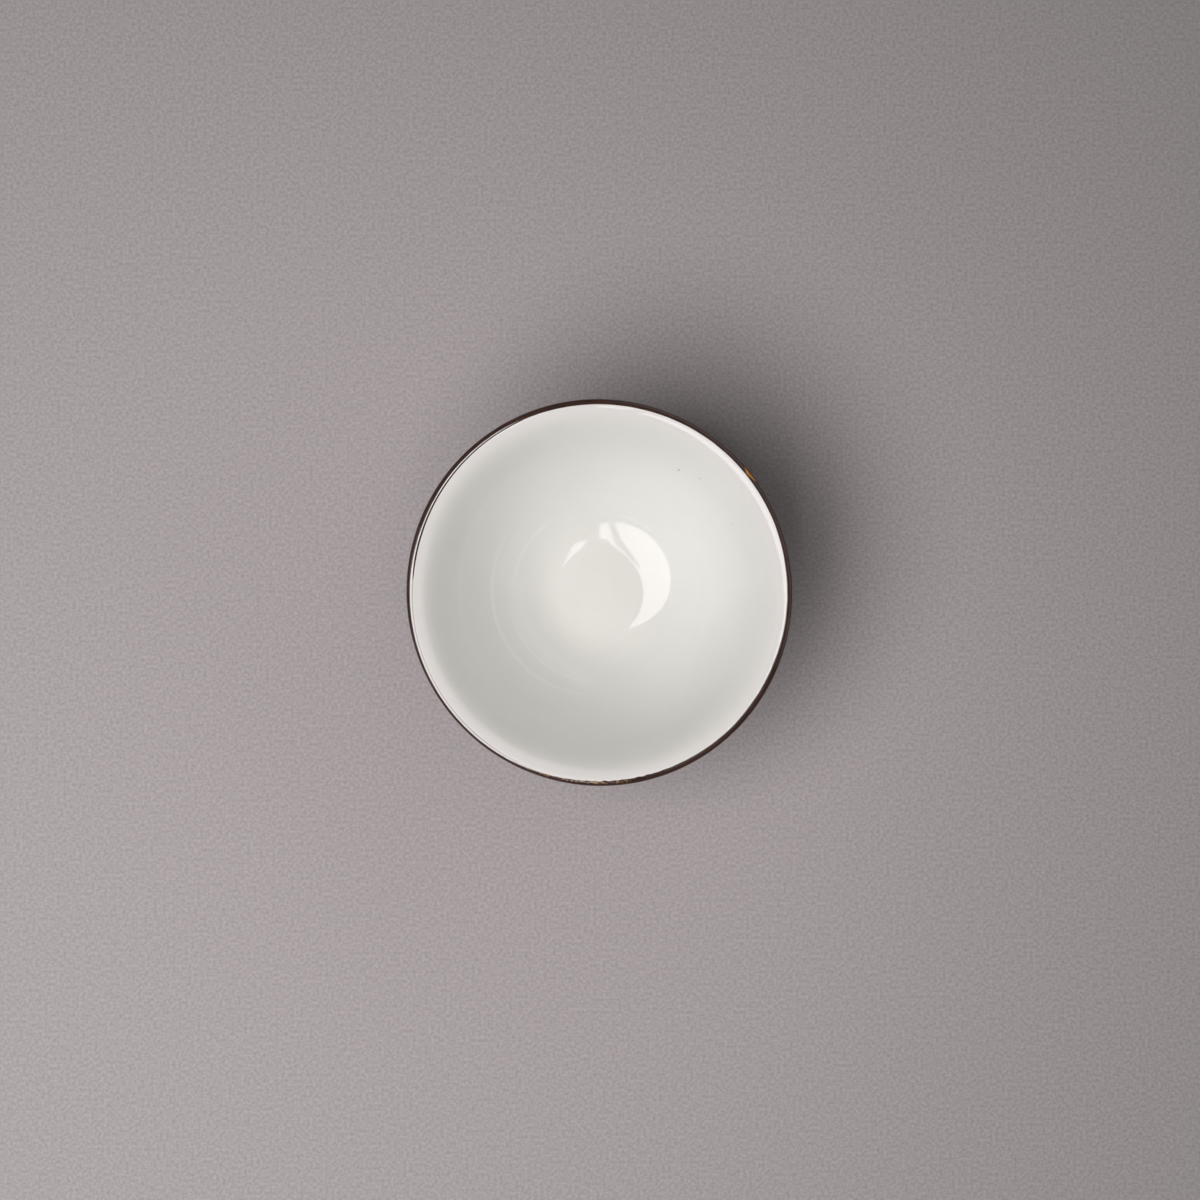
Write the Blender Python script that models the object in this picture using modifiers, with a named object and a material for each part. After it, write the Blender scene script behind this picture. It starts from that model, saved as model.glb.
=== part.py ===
"""A small porcelain sake cup: a thrown bowl with an out-turned lip and a trimmed foot ring,
with each fired coat as a thin solid of its own.

Every turned piece comes from one outline of the finished cup. The outline starts on the axis in the well,
climbs the inside, rolls over the lip, runs down the outside to the foot and ends on the axis under the cup.
A coat is a stretch of that outline with a thickness. The clay body is the same outline set back under them.
"""

import math

import bmesh
import bpy
from mathutils import Matrix

# Driving dimensions, in metres
RIM_RADIUS = 0.0320
HEIGHT = 0.0310
LIP_ROUND = 0.00075
WELL_RADIUS = 0.0072
WELL_HEIGHT = 0.0087
FOOT_RADIUS = 0.0143
FOOT_HEIGHT = 0.0064
RECESS_RADIUS = 0.0110
RECESS_DEPTH = 0.0046
COAT_THICKNESS = 0.00025
COAT_GAP = 0.0001

# The bowl's inside: where its wall is steepest, and the slope of the lip's upper side.
# Angles are in degrees. A curve's pulls are how far it keeps to its end directions, as shares of its span.
STEEP_RADIUS = RIM_RADIUS * 0.795
STEEP_HEIGHT = WELL_HEIGHT + (HEIGHT - WELL_HEIGHT) * 0.677
STEEP_ANGLE = 63
FLARE_ANGLE = 16
BOWL_PULLS = (0.145, 0.62)
FLARE_PULLS = (0.61, 0.267)

# The bowl's outside: the wall's thickness there, and the slopes under the lip and above the foot
WALL_THICKNESS = 0.0022
UNDERCUT_ANGLE = 18
BELLY_END_ANGLE = 30
NECK_PULLS = (0.24, 0.37)
BELLY_PULLS = (0.28, 0.38)

# The foot: the coats stop above a bare ring that the cup stands on
FOOT_TAPER_ANGLE = 6
FOOT_FILLET = 0.0010
FILLET_PULLS = (0.34, 0.34)
BARE_HEIGHT = 0.0013
RING_WIDTH = 0.0013
RING_CHAMFER = 0.0004
RECESS_CORNER = 0.0012

# The brown line lies on the lip's outer half and a share of the neck under it, with a joint at each edge
RIM_LINE_SHARE = 0.22
JOINT_SHARE = 0.015
LIP_JOINT_ANGLE = 4

# The gold mark is one dab of the brush across the brown line, with its narrow end towards the crest
GOLD_THICKNESS = 0.00012
GOLD_GAP = 0.00006
GOLD_AZIMUTH = 38
GOLD_LIP_ANGLE = -36
GOLD_WIDTH = 0.0036
GOLD_LENGTH = 0.0025
GOLD_POINTEDNESS = 0.7
GOLD_SEGMENTS = 24
GOLD_RINGS = 14

# How finely each stretch of the outline and the turning are divided
TURNING_STEPS = 52
BOWL_ROWS = 8
FLARE_ROWS = 6
LIP_TOP_ROWS = 4
LIP_UNDER_ROWS = 3
NECK_ROWS = 5
BELLY_ROWS = 6
FILLET_ROWS = 2
RECESS_ROWS = 3

COAT_DEPTH = COAT_THICKNESS + COAT_GAP
LIP_CENTRE = (RIM_RADIUS - LIP_ROUND, HEIGHT - LIP_ROUND)


def along(point, angle, length):
    """The point that lies a length away in a direction given in degrees."""
    turn = math.radians(angle)
    return (point[0] + length * math.cos(turn), point[1] + length * math.sin(turn))


def curve(start, start_angle, end, end_angle, pulls, rows, share=(0.0, 1.0)):
    """A share of a smooth curve between two points as stations: radius, height and direction in degrees."""
    span = math.dist(start, end)
    first = along(start, start_angle, pulls[0] * span)
    second = along(end, end_angle + 180, pulls[1] * span)
    stations = []
    for row in range(rows + 1):
        t = share[0] + (share[1] - share[0]) * row / rows
        u = 1 - t
        place = []
        slope = []
        for a, b, c, d in zip(start, first, second, end):
            place.append(u**3 * a + 3 * u * u * t * b + 3 * u * t * t * c + t**3 * d)
            slope.append(u * u * (b - a) + 2 * u * t * (c - b) + t * t * (d - c))
        stations.append((*place, math.degrees(math.atan2(slope[1], slope[0]))))
    return stations


def arc(centre, radius, start_angle, end_angle, rows):
    """An arc about a centre as stations, clockwise where the angle falls."""
    turn = 90 if end_angle > start_angle else -90
    stations = []
    for row in range(rows + 1):
        angle = start_angle + (end_angle - start_angle) * row / rows
        stations.append((*along(centre, angle, radius), angle + turn))
    return stations


def set_back(stations, depth):
    """The stations' points moved under the finished surface, whose open side is left of its direction."""
    points = []
    for radius, height, direction in stations:
        point = along((radius, height), direction - 90, depth)
        points.append((point[0] if radius else 0.0, point[1]))
    return points


def foot_wall_radius(height):
    """The radius of the foot's tapered outer wall at a height."""
    return FOOT_RADIUS - math.tan(math.radians(FOOT_TAPER_ANGLE)) * (FOOT_HEIGHT - height)


def inside_stretch():
    """The flat well, the bowl and the upper side of the out-turned lip, up to the crest."""
    well_edge = (WELL_RADIUS, WELL_HEIGHT)
    steepest = (STEEP_RADIUS, STEEP_HEIGHT)
    lip_start = along(LIP_CENTRE, 90 + FLARE_ANGLE, LIP_ROUND)
    bowl = curve(well_edge, 0, steepest, STEEP_ANGLE, BOWL_PULLS, BOWL_ROWS)
    flare = curve(steepest, STEEP_ANGLE, lip_start, FLARE_ANGLE, FLARE_PULLS, FLARE_ROWS)
    crest = arc(LIP_CENTRE, LIP_ROUND, 90 + FLARE_ANGLE, 90 + LIP_JOINT_ANGLE, 1)
    return [(0.0, WELL_HEIGHT, 0.0)] + bowl + flare[1:] + crest[1:]


def neck_curve(rows, share):
    """A share of the hollow under the lip, which ends where the wall is steepest."""
    lip_end = along(LIP_CENTRE, UNDERCUT_ANGLE - 90, LIP_ROUND)
    steepest = along((STEEP_RADIUS, STEEP_HEIGHT), STEEP_ANGLE - 90, WALL_THICKNESS)
    return curve(lip_end, UNDERCUT_ANGLE - 180, steepest, STEEP_ANGLE - 180, NECK_PULLS, rows, share)


def rim_stretch():
    """The outer half of the lip, from just past the crest to a little way under it."""
    top = arc(LIP_CENTRE, LIP_ROUND, 90 - LIP_JOINT_ANGLE, 0, LIP_TOP_ROWS)
    under = arc(LIP_CENTRE, LIP_ROUND, 0, UNDERCUT_ANGLE - 90, LIP_UNDER_ROWS)
    neck = neck_curve(1, (0.0, RIM_LINE_SHARE))
    return top + under[1:] + neck[1:]


def outside_stretch():
    """The outside from a fine joint below the rim line, round the belly and down the foot's wall."""
    neck = neck_curve(NECK_ROWS, (RIM_LINE_SHARE + JOINT_SHARE, 1.0))
    corner = (FOOT_RADIUS, FOOT_HEIGHT)
    down = -90 - FOOT_TAPER_ANGLE
    belly_end = along(corner, BELLY_END_ANGLE, FOOT_FILLET)
    wall_start = along(corner, down, FOOT_FILLET)
    belly = curve(neck[-1][:2], neck[-1][2], belly_end, BELLY_END_ANGLE - 180, BELLY_PULLS, BELLY_ROWS)
    fillet = curve(belly_end, BELLY_END_ANGLE - 180, wall_start, down, FILLET_PULLS, FILLET_ROWS)
    stop = (foot_wall_radius(BARE_HEIGHT), BARE_HEIGHT, down)
    return neck + belly[1:] + fillet[1:] + [stop]


def foot_ring():
    """The bare ring that the cup stands on, from its outer edge to its inner one."""
    outer = foot_wall_radius(RING_CHAMFER) - COAT_DEPTH
    ring_outer = outer - RING_CHAMFER
    ring_inner = ring_outer - RING_WIDTH
    inner = ring_inner - RING_CHAMFER / 2
    return [(outer, RING_CHAMFER), (ring_outer, 0.0), (ring_inner, 0.0), (inner, RING_CHAMFER)]


def recess_stretch():
    """The hollow under the cup: the foot's inner wall, a rounded corner and the ceiling."""
    centre = (RECESS_RADIUS - RECESS_CORNER, RECESS_DEPTH - RECESS_CORNER)
    corner = arc(centre, RECESS_CORNER, 0, 90, RECESS_ROWS)
    return [(RECESS_RADIUS, BARE_HEIGHT, 90.0)] + corner + [(0.0, RECESS_DEPTH, 180.0)]


def material(name, colour, roughness, metallic=0.0):
    """A plain finish with a colour, a roughness and, for the gold, a metallic value."""
    made = bpy.data.materials.new(name)
    made.use_nodes = True
    shader = made.node_tree.nodes["Principled BSDF"]
    shader.inputs["Base Color"].default_value = (*colour, 1.0)
    shader.inputs["Roughness"].default_value = roughness
    shader.inputs["Metallic"].default_value = metallic
    return made


def turned(name, outline, closed, finish):
    """A piece turned about the axis from an outline of radius and height points."""
    mesh = bpy.data.meshes.new(name)
    edges = [(index, index + 1) for index in range(len(outline) - 1)]
    if closed:
        edges.append((len(outline) - 1, 0))
    mesh.from_pydata([(radius, 0.0, height) for radius, height in outline], edges, [])
    mesh.materials.append(finish)
    piece = bpy.data.objects.new(name, mesh)
    cup_pieces.objects.link(piece)
    screw = piece.modifiers.new("turning", "SCREW")
    screw.axis = "Z"
    screw.steps = TURNING_STEPS
    screw.render_steps = TURNING_STEPS
    screw.use_merge_vertices = True
    screw.merge_threshold = 0.000001
    screw.use_smooth_shade = True
    return piece


def coat(name, stretch, near, far, finish):
    """A thin layer over a stretch of the outline, between two depths under the finished surface."""
    face = set_back(stretch, near)
    back = set_back(stretch, far)[::-1]
    outline = back + face if stretch[-1][0] == 0 else face + back
    closed = all(radius > 0 for radius, height in outline)
    return turned(name, outline, closed, finish)


def brush_dab():
    """The gold mark's outline as a solid: a ball of diameter 1, narrowed upwards and sized to the mark."""
    bm = bmesh.new()
    bmesh.ops.create_uvsphere(bm, u_segments=GOLD_SEGMENTS, v_segments=GOLD_RINGS, radius=0.5)
    for vertex in bm.verts:
        vertex.co.y *= 1 - GOLD_POINTEDNESS * max(vertex.co.z, 0.0)
    mesh = bpy.data.meshes.new("brush_dab")
    bm.to_mesh(mesh)
    bm.free()
    radius, height = along(LIP_CENTRE, GOLD_LIP_ANGLE, LIP_ROUND)
    size = Matrix.Diagonal((GOLD_LENGTH, GOLD_WIDTH, GOLD_LENGTH, 1.0))
    mesh.transform(Matrix.Translation((radius, 0.0, height)) @ size)
    dab = bpy.data.objects.new("brush_dab", mesh)
    dab.rotation_euler.z = math.radians(GOLD_AZIMUTH)
    dab.hide_render = True
    dab.display_type = "WIRE"
    cutters.objects.link(dab)
    return dab


for old in list(bpy.data.objects):
    bpy.data.objects.remove(old)
cup_pieces = bpy.data.collections.new("sake_cup")
cutters = bpy.data.collections.new("cutters")
bpy.context.scene.collection.children.link(cup_pieces)
bpy.context.scene.collection.children.link(cutters)

bare_clay = material("bare porcelain", (0.70, 0.67, 0.61), 0.6)
white_glaze = material("white glaze", (0.78, 0.78, 0.74), 0.05)
brown_glaze = material("iron brown glaze", (0.045, 0.026, 0.021), 0.12)
brown_line = material("iron brown line", (0.050, 0.029, 0.023), 0.2)
gold = material("overglaze gold", (0.60, 0.30, 0.06), 0.3, 1.0)

inside = inside_stretch()
rim = rim_stretch()
outside = outside_stretch()
recess = recess_stretch()

clay_outline = set_back(inside + rim + outside, COAT_DEPTH) + foot_ring() + set_back(recess, COAT_DEPTH)
turned("porcelain_body", clay_outline, False, bare_clay)
coat("inside_glaze", inside, 0.0, COAT_THICKNESS, white_glaze)
coat("rim_line", rim, 0.0, COAT_THICKNESS, brown_line)
coat("outside_glaze", outside, 0.0, COAT_THICKNESS, brown_glaze)
coat("foot_recess_glaze", recess, 0.0, COAT_THICKNESS, white_glaze)

gold_reach = rim + outside[:2]
gold_layer = coat("gold_accent", gold_reach, -GOLD_GAP - GOLD_THICKNESS, -GOLD_GAP, gold)
brushed = gold_layer.modifiers.new("brushed shape", "BOOLEAN")
brushed.operation = "INTERSECT"
brushed.solver = "EXACT"
brushed.object = brush_dab()
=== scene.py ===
# %% [markdown]
# # Dressing a small sake cup
# A porcelain cup like this is one thrown bowl with thin coats fired onto it: a white glaze inside, an
# iron-brown glaze outside, a brown line brushed round the lip and one small touch of gold. The frame
# holds each of them as a plain solid at its real size. This lesson makes each coat again as a finer mesh
# on the same outline, with the uneven edges that a brush leaves, and gives it the finish of the fired
# material.

# %% Load the frame and keep its box
import math
from types import SimpleNamespace

import bmesh
import bpy
import numpy as np
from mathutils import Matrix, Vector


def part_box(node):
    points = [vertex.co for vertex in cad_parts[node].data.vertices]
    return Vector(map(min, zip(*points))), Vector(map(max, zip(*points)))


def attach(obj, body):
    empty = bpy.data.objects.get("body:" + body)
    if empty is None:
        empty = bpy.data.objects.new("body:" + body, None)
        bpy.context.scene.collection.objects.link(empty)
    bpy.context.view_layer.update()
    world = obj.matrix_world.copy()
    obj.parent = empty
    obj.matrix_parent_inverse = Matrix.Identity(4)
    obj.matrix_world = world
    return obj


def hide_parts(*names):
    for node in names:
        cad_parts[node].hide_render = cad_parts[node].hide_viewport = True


MM = 1000  # millimetres in a metre
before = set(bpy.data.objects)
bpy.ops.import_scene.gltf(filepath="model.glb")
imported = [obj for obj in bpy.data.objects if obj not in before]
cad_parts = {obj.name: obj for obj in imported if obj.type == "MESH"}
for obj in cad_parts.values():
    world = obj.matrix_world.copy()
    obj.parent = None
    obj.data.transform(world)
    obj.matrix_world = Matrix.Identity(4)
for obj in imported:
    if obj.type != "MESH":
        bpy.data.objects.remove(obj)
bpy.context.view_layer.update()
print("nodes:", sorted(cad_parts))

# %% [markdown]
# ## One outline for the whole cup
# A potter draws a cup as a single line: along the well, up the inside, over the lip, down the outside and
# under the foot. Turning that line about the axis gives the whole form, and each coat is a stretch of it.
# The sizes that the frame can give are measured from its nodes, and the others are the cup's own driving
# sizes, in metres and degrees.

# %% Driving sizes of the cup
COAT = 0.00025
LIP_ROUND = 0.00075
LIP_INNER_ROUND = 0.00145
WELL_RADIUS = 0.0072
WALL_THICKNESS = 0.0022
FOOT_RADIUS = 0.0143
FOOT_HEIGHT = 0.0064
FOOT_FILLET = 0.0010
RECESS_RADIUS = 0.0110
rim_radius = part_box("rim_line")[1].x
cup_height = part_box("inside_glaze")[1].z
well_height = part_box("inside_glaze")[0].z + COAT
recess_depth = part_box("foot_recess_glaze")[1].z - COAT
bare_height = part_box("foot_recess_glaze")[0].z
lip_centre = (rim_radius - LIP_ROUND, cup_height - LIP_ROUND)
print("rim radius", rim_radius, "height", cup_height, "well at", well_height)

# %% Slopes of the outline, and how far each curve keeps to its end directions as shares of its span
STEEP_RADIUS_SHARE = 0.795
STEEP_HEIGHT_SHARE = 0.677
STEEP_ANGLE = 63
FLARE_ANGLE = 25
UNDERCUT_ANGLE = 18
BELLY_END_ANGLE = 30
FOOT_TAPER_ANGLE = 6
BOWL_PULLS = (0.145, 0.62)
FLARE_PULLS = (0.65, 0.253)
NECK_PULLS = (0.24, 0.37)
BELLY_PULLS = (0.28, 0.38)
FILLET_PULLS = (0.34, 0.34)
steep_height = well_height + (cup_height - well_height) * STEEP_HEIGHT_SHARE
steep_point = (rim_radius * STEEP_RADIUS_SHARE, steep_height)
print("steepest at", np.round(MM * np.array(steep_point), 2), "mm")

# %% Curves, arcs and straights as points
CURVE_POINTS = 300
ARC_POINTS = 90
STRAIGHT_POINTS = 60


def along(point, angle, length):
    """The point that lies a length away in a direction given in degrees."""
    turn = math.radians(angle)
    return (point[0] + length * math.cos(turn), point[1] + length * math.sin(turn))


def curve(start, start_angle, end, end_angle, pulls, count=CURVE_POINTS):
    """A smooth curve between two points that leaves and arrives in given directions."""
    span = math.dist(start, end)
    first = along(start, start_angle, pulls[0] * span)
    second = along(end, end_angle + 180, pulls[1] * span)
    share = np.linspace(0.0, 1.0, count)[:, None]
    rest = 1 - share
    weights = (rest**3, 3 * rest**2 * share, 3 * rest * share**2, share**3)
    return sum(weight * np.array(point) for weight, point in zip(weights, (start, first, second, end)))


def arc(centre, radius, start_angle, end_angle, count=ARC_POINTS):
    """A round stretch about a centre."""
    turn = np.radians(np.linspace(start_angle, end_angle, count))
    return np.column_stack([centre[0] + radius * np.cos(turn), centre[1] + radius * np.sin(turn)])


def straight(start, end, count=STRAIGHT_POINTS):
    """A straight stretch between two points."""
    return np.linspace(start, end, count)


def round_axis(angle, radius, height):
    """The point at an angle in radians, a radius and a height about the cup's axis."""
    return (radius * math.cos(angle), radius * math.sin(angle), height)


def foot_wall(height):
    """The point of the foot's tapered outer wall at a height."""
    return (FOOT_RADIUS - math.tan(math.radians(FOOT_TAPER_ANGLE)) * (FOOT_HEIGHT - height), height)


print("points on a curve:", CURVE_POINTS)

# %% The upper outline, from the axis in the well to the glaze line above the foot
lip_inner_centre = (lip_centre[0], cup_height - LIP_INNER_ROUND)
lip_start = along(lip_inner_centre, 90 + FLARE_ANGLE, LIP_INNER_ROUND)
lip_end = along(lip_centre, UNDERCUT_ANGLE - 90, LIP_ROUND)
outer_steep = along(steep_point, STEEP_ANGLE - 90, WALL_THICKNESS)
foot_corner = (FOOT_RADIUS, FOOT_HEIGHT)
down_foot = -90 - FOOT_TAPER_ANGLE
belly_end = along(foot_corner, BELLY_END_ANGLE, FOOT_FILLET)
foot_start = along(foot_corner, down_foot, FOOT_FILLET)
well = straight((0.0, well_height), (WELL_RADIUS, well_height))
bowl = curve((WELL_RADIUS, well_height), 0, steep_point, STEEP_ANGLE, BOWL_PULLS)
flare = curve(steep_point, STEEP_ANGLE, lip_start, FLARE_ANGLE, FLARE_PULLS)
lip_inner = arc(lip_inner_centre, LIP_INNER_ROUND, 90 + FLARE_ANGLE, 90)
lip_outer = arc(lip_centre, LIP_ROUND, 90, UNDERCUT_ANGLE - 90)
neck = curve(lip_end, UNDERCUT_ANGLE - 180, outer_steep, STEEP_ANGLE - 180, NECK_PULLS)
belly = curve(outer_steep, STEEP_ANGLE - 180, belly_end, BELLY_END_ANGLE - 180, BELLY_PULLS)
fillet = curve(belly_end, BELLY_END_ANGLE - 180, foot_start, down_foot, FILLET_PULLS, count=40)
foot_side = straight(foot_start, foot_wall(bare_height))
inside_stretches = (well, bowl, flare, lip_inner)
outside_stretches = (lip_outer, neck, belly, fillet, foot_side)
print("outline stretches:", len(inside_stretches), "inside,", len(outside_stretches), "outside")


# %% An outline that can be asked for any place along it
class Outline:
    """A line of radius and height points, with closer rows where it bends and at fine radii."""

    ROW_LENGTH = 0.001
    ROW_TURN = math.radians(5)
    FINE_LENGTH = 0.0016
    FINE_ROWS = 12

    def __init__(self, *stretches, fine_radii=()):
        points = np.concatenate([stretches[0]] + [stretch[1:] for stretch in stretches[1:]])
        steps = np.diff(points, axis=0)
        sizes = np.hypot(steps[:, 0], steps[:, 1])
        self.radius, self.height = points.T
        self.length = np.concatenate([[0.0], np.cumsum(sizes)])
        middles = (self.length[1:] + self.length[:-1]) / 2
        heading = np.unwrap(np.arctan2(steps[:, 1], steps[:, 0]))
        self.heading = np.interp(self.length, middles, heading)
        turning = np.abs(np.diff(self.heading, prepend=self.heading[0]))
        self.effort = self.length / self.ROW_LENGTH + np.cumsum(turning) / self.ROW_TURN
        for radius in fine_radii:
            away = (self.length - self.length_at(radius)) / self.FINE_LENGTH
            self.effort = self.effort + self.FINE_ROWS * np.clip(away + 0.5, 0.0, 1.0)

    def length_at(self, radius):
        """The length at which the line first reaches a radius."""
        return self.length[np.argmax(self.radius >= radius)]

    def rows(self, start, end):
        """Lengths of rows between a start and an end, which may differ at every angle round the cup."""
        first = np.interp(start, self.length, self.effort)
        last = np.interp(end, self.length, self.effort)
        count = int(np.ceil((last - first).max())) + 2
        effort = first[:, None] + (last - first)[:, None] * np.linspace(0.0, 1.0, count)
        return np.interp(effort, self.effort, self.length)

    def places(self, lengths, proud):
        """Radius and height at lengths along the line, proud of it by a distance square to it."""
        heading = np.interp(lengths, self.length, self.heading)
        radius = np.interp(lengths, self.length, self.radius) - proud * np.sin(heading)
        height = np.interp(lengths, self.length, self.height) + proud * np.cos(heading)
        return np.stack([radius, height], axis=-1)


RING_RADII = (0.0153, 0.0184, 0.0236)
upper = Outline(*inside_stretches, *outside_stretches, fine_radii=RING_RADII)
shared_points = len(inside_stretches) - 1
crest_index = sum(len(stretch) for stretch in inside_stretches) - shared_points - 1
crest_length = upper.length[crest_index]
print("outline", round(MM * upper.length[-1], 1), "mm, crest at", round(MM * crest_length, 2), "mm")

# %% [markdown]
# ## Thin coats as closed shells
# A coat of glaze is a quarter of a millimetre of glass. As a mesh it is a shell: a face that shows, a back
# against the clay, and edges that close it. A Screw modifier would turn a fixed section, but a brushed
# edge wanders, so the shell is a grid with one section for every angle round the cup. The kiln also pulls
# a thin rim slightly oval, and one function gives that to every coat.

# %% The fired rim, which is a little oval
OVAL = 0.004
OVAL_ANGLE = math.radians(125)


def fired(radius, angle):
    """The radius after the firing, at the rim up to an eighth of a millimetre longer or shorter."""
    return radius * (1 + OVAL * (radius / rim_radius) ** 2 * np.cos(2 * (angle - OVAL_ANGLE)))


print("longest rim radius", round(MM * fired(rim_radius, OVAL_ANGLE), 2), "mm")

# %% Turn a section into a closed mesh
ON_AXIS = 1e-7
JOIN_DISTANCE = 1e-6
SHARP_DEGREES = 40


def placed(name, data):
    """A new object in the scene."""
    made = bpy.data.objects.new(name, data)
    bpy.context.scene.collection.objects.link(made)
    return made


def turned(name, sections):
    """A closed object from sections of radius and height points, one for every angle round the axis."""
    steps, count = sections.shape[:2]
    angles = np.arange(steps)[:, None] * 2 * math.pi / steps
    radius = fired(sections[..., 0], angles)
    x = radius * np.cos(angles)
    y = radius * np.sin(angles)
    vertices = np.stack([x, y, sections[..., 1]], axis=-1).reshape(-1, 3)
    meets_axis = min(sections[0, 0, 0], sections[0, -1, 0]) < ON_AXIS
    spans = count - 1 if meets_axis else count
    faces = []
    for step in range(steps):
        here, there = step * count, (step + 1) % steps * count
        for point in range(spans):
            after = (point + 1) % count
            faces.append((here + point, here + after, there + after, there + point))
    mesh = bpy.data.meshes.new(name)
    mesh.from_pydata(vertices.tolist(), [], faces)
    bm = bmesh.new()
    bm.from_mesh(mesh)
    poles = [vertex for vertex in bm.verts if vertex.co.xy.length < ON_AXIS]
    bmesh.ops.remove_doubles(bm, verts=poles, dist=JOIN_DISTANCE)
    bmesh.ops.recalc_face_normals(bm, faces=bm.faces)
    bm.to_mesh(mesh)
    bm.free()
    mesh.shade_smooth()
    mesh.set_sharp_from_angle(angle=math.radians(SHARP_DEGREES))
    return placed(name, mesh)


print("edges stay sharp above", SHARP_DEGREES, "degrees")

# %% A coat on a stretch of an outline, whose hidden back has fewer rows than its face
BACK_SKIP = 4


def coat(name, outline, start, end, top):
    """A shell from start to end, given at every angle, whose face stands proud of the outline by top."""
    lengths = outline.rows(start, end)
    angles = np.arange(len(start)) * 2 * math.pi / len(start)
    face = outline.places(lengths, top(angles[:, None], lengths))
    count = lengths.shape[1]
    back_rows = np.append(np.arange(0, count - 1, BACK_SKIP), count - 1)
    back = outline.places(lengths[:, back_rows], -COAT)
    piece = turned(name, np.concatenate([face, back[:, ::-1]], axis=1))
    print(name, len(piece.data.polygons), "faces")
    return piece


def dress(piece, node):
    """The piece stands for a node of the frame, whose solid it hides, and moves with the cup."""
    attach(piece, "root")
    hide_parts(node)


print("a back keeps one row in", BACK_SKIP)

# %% Waves round the cup, for everything that a hand leaves uneven
STEPS = 288
BRUSH_STEPS = 720
WAVE_SIZES = (0.3, 1.0)


def waves(angles, seed, lowest, highest):
    """An uneven line round the cup between about -1 and 1, from whole waves so that it joins up."""
    draw = np.random.default_rng(seed)
    total = np.zeros_like(angles)
    for count in range(lowest, highest + 1):
        phase = draw.uniform(0, 2 * math.pi)
        total += np.sin(count * angles + phase) * draw.uniform(*WAVE_SIZES)
    return total / math.sqrt(highest - lowest + 1)


all_angles = np.arange(STEPS) * 2 * math.pi / STEPS
brush_angles = np.arange(BRUSH_STEPS) * 2 * math.pi / BRUSH_STEPS
print("one step at the rim is", round(2 * MM * math.pi * rim_radius / BRUSH_STEPS, 2), "mm")

# %% [markdown]
# ## Where the brush went round the lip
# The brown line was laid with a loaded brush while the cup turned. On the right its inner edge keeps just
# inside the crest of the lip. On the left it strays to the crest and past it, by up to a third of a
# millimetre, and at the bottom it has ragged ends where the brush ran dry. The white glaze stops where the
# line starts, so one function gives both edges.

# %% The line's two edges, and the azimuths where each sway of the brush comes and goes
JOINT = 0.00001
BRUSH_REACH = 0.00016
BRUSH_SWAYS = [
    (-0.00046, (112, 116, 226, 286)),
    (0.00030, (112, 116, 156, 206)),
    (-0.00006, (116, 122, 142, 154)),
    (0.00010, (312, 324, 336, 350)),
    (-0.00013, (4, 26, 46, 80)),
]
RAGGED_STRETCH = (242, 254, 280, 306)
RAGGED = 0.00005
HAND_WANDER = 0.00002
HAIR_WANDER = 0.00001
NECK_REACH = 0.0013
NECK_WANDER = 0.00012
NECK_HAIR_SHARE = 0.25


def window(angles, degrees):
    """1 between the two middle azimuths, 0 outside the outer two, with soft ramps between."""
    level = np.interp(np.degrees(angles) % 360, degrees, (0.0, 1.0, 1.0, 0.0))
    return level * level * (3 - 2 * level)


def inner_edge(angles):
    """How far the line reaches in over the crest, which is less than nothing where it stays outside."""
    reach = BRUSH_REACH + sum(sway * window(angles, stretch) for sway, stretch in BRUSH_SWAYS)
    ragged = RAGGED * waves(angles, seed=4, lowest=60, highest=160) * window(angles, RAGGED_STRETCH)
    hand = HAND_WANDER * waves(angles, seed=3, lowest=2, highest=9)
    hairs = HAIR_WANDER * waves(angles, seed=14, lowest=30, highest=90)
    return reach + ragged + hand + hairs


def lower_edge(angles):
    """How far along the outline the line ends, on the neck below the lip."""
    lip_length = crest_length + LIP_ROUND * math.radians(180 - UNDERCUT_ANGLE)
    hand = waves(angles, seed=5, lowest=2, highest=8)
    hairs = waves(angles, seed=6, lowest=25, highest=70)
    return lip_length + NECK_REACH + NECK_WANDER * (hand + NECK_HAIR_SHARE * hairs)


print("inner edge in mm:", np.round(MM * inner_edge(np.radians([0, 90, 150, 225, 270])), 3))

# %% [markdown]
# ## The white glaze inside
# Clear glaze over white porcelain pools into a smooth glassy skin. It follows the faint rings that the
# thrower's fingers left in the bowl, steps of about a fiftieth of a millimetre, which show as thin arcs of
# light. They are in the mesh. At the lip the glaze meets the brown line with a joint as fine as the rings.

# %% Make the inside glaze
RING_STEP = 0.000022
RING_WIDTH_UP = 0.0032
RING_EASE = 0.00022
RING_SHIFT = 0.00035
RING_SHIFT_ANGLE = math.radians(-30)
RING_WANDER = 0.0001
RING_UNEVEN = 0.3


def thrown_top(angles, lengths):
    """A face with faint rings: each rises slowly outwards and drops back in a narrow band."""
    face = np.zeros_like(lengths)
    for index, radius in enumerate(RING_RADII):
        shift = RING_SHIFT * np.cos(angles - RING_SHIFT_ANGLE)
        wander = RING_WANDER * waves(angles, seed=20 + index, lowest=1, highest=4)
        away = lengths - upper.length_at(radius) - (shift + wander)
        before = np.clip(1 + away / RING_WIDTH_UP, 0.0, 1.0) ** 2
        drop = 0.5 - 0.5 * np.tanh(away / RING_EASE)
        uneven = 1 + RING_UNEVEN * waves(angles, seed=30 + index, lowest=1, highest=5)
        face += RING_STEP * before * drop * uneven
    return face


bowl_glaze = coat(
    "bowl_glaze",
    upper,
    np.zeros(BRUSH_STEPS),
    crest_length - inner_edge(brush_angles) - JOINT,
    thrown_top,
)
dress(bowl_glaze, "inside_glaze")

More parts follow.
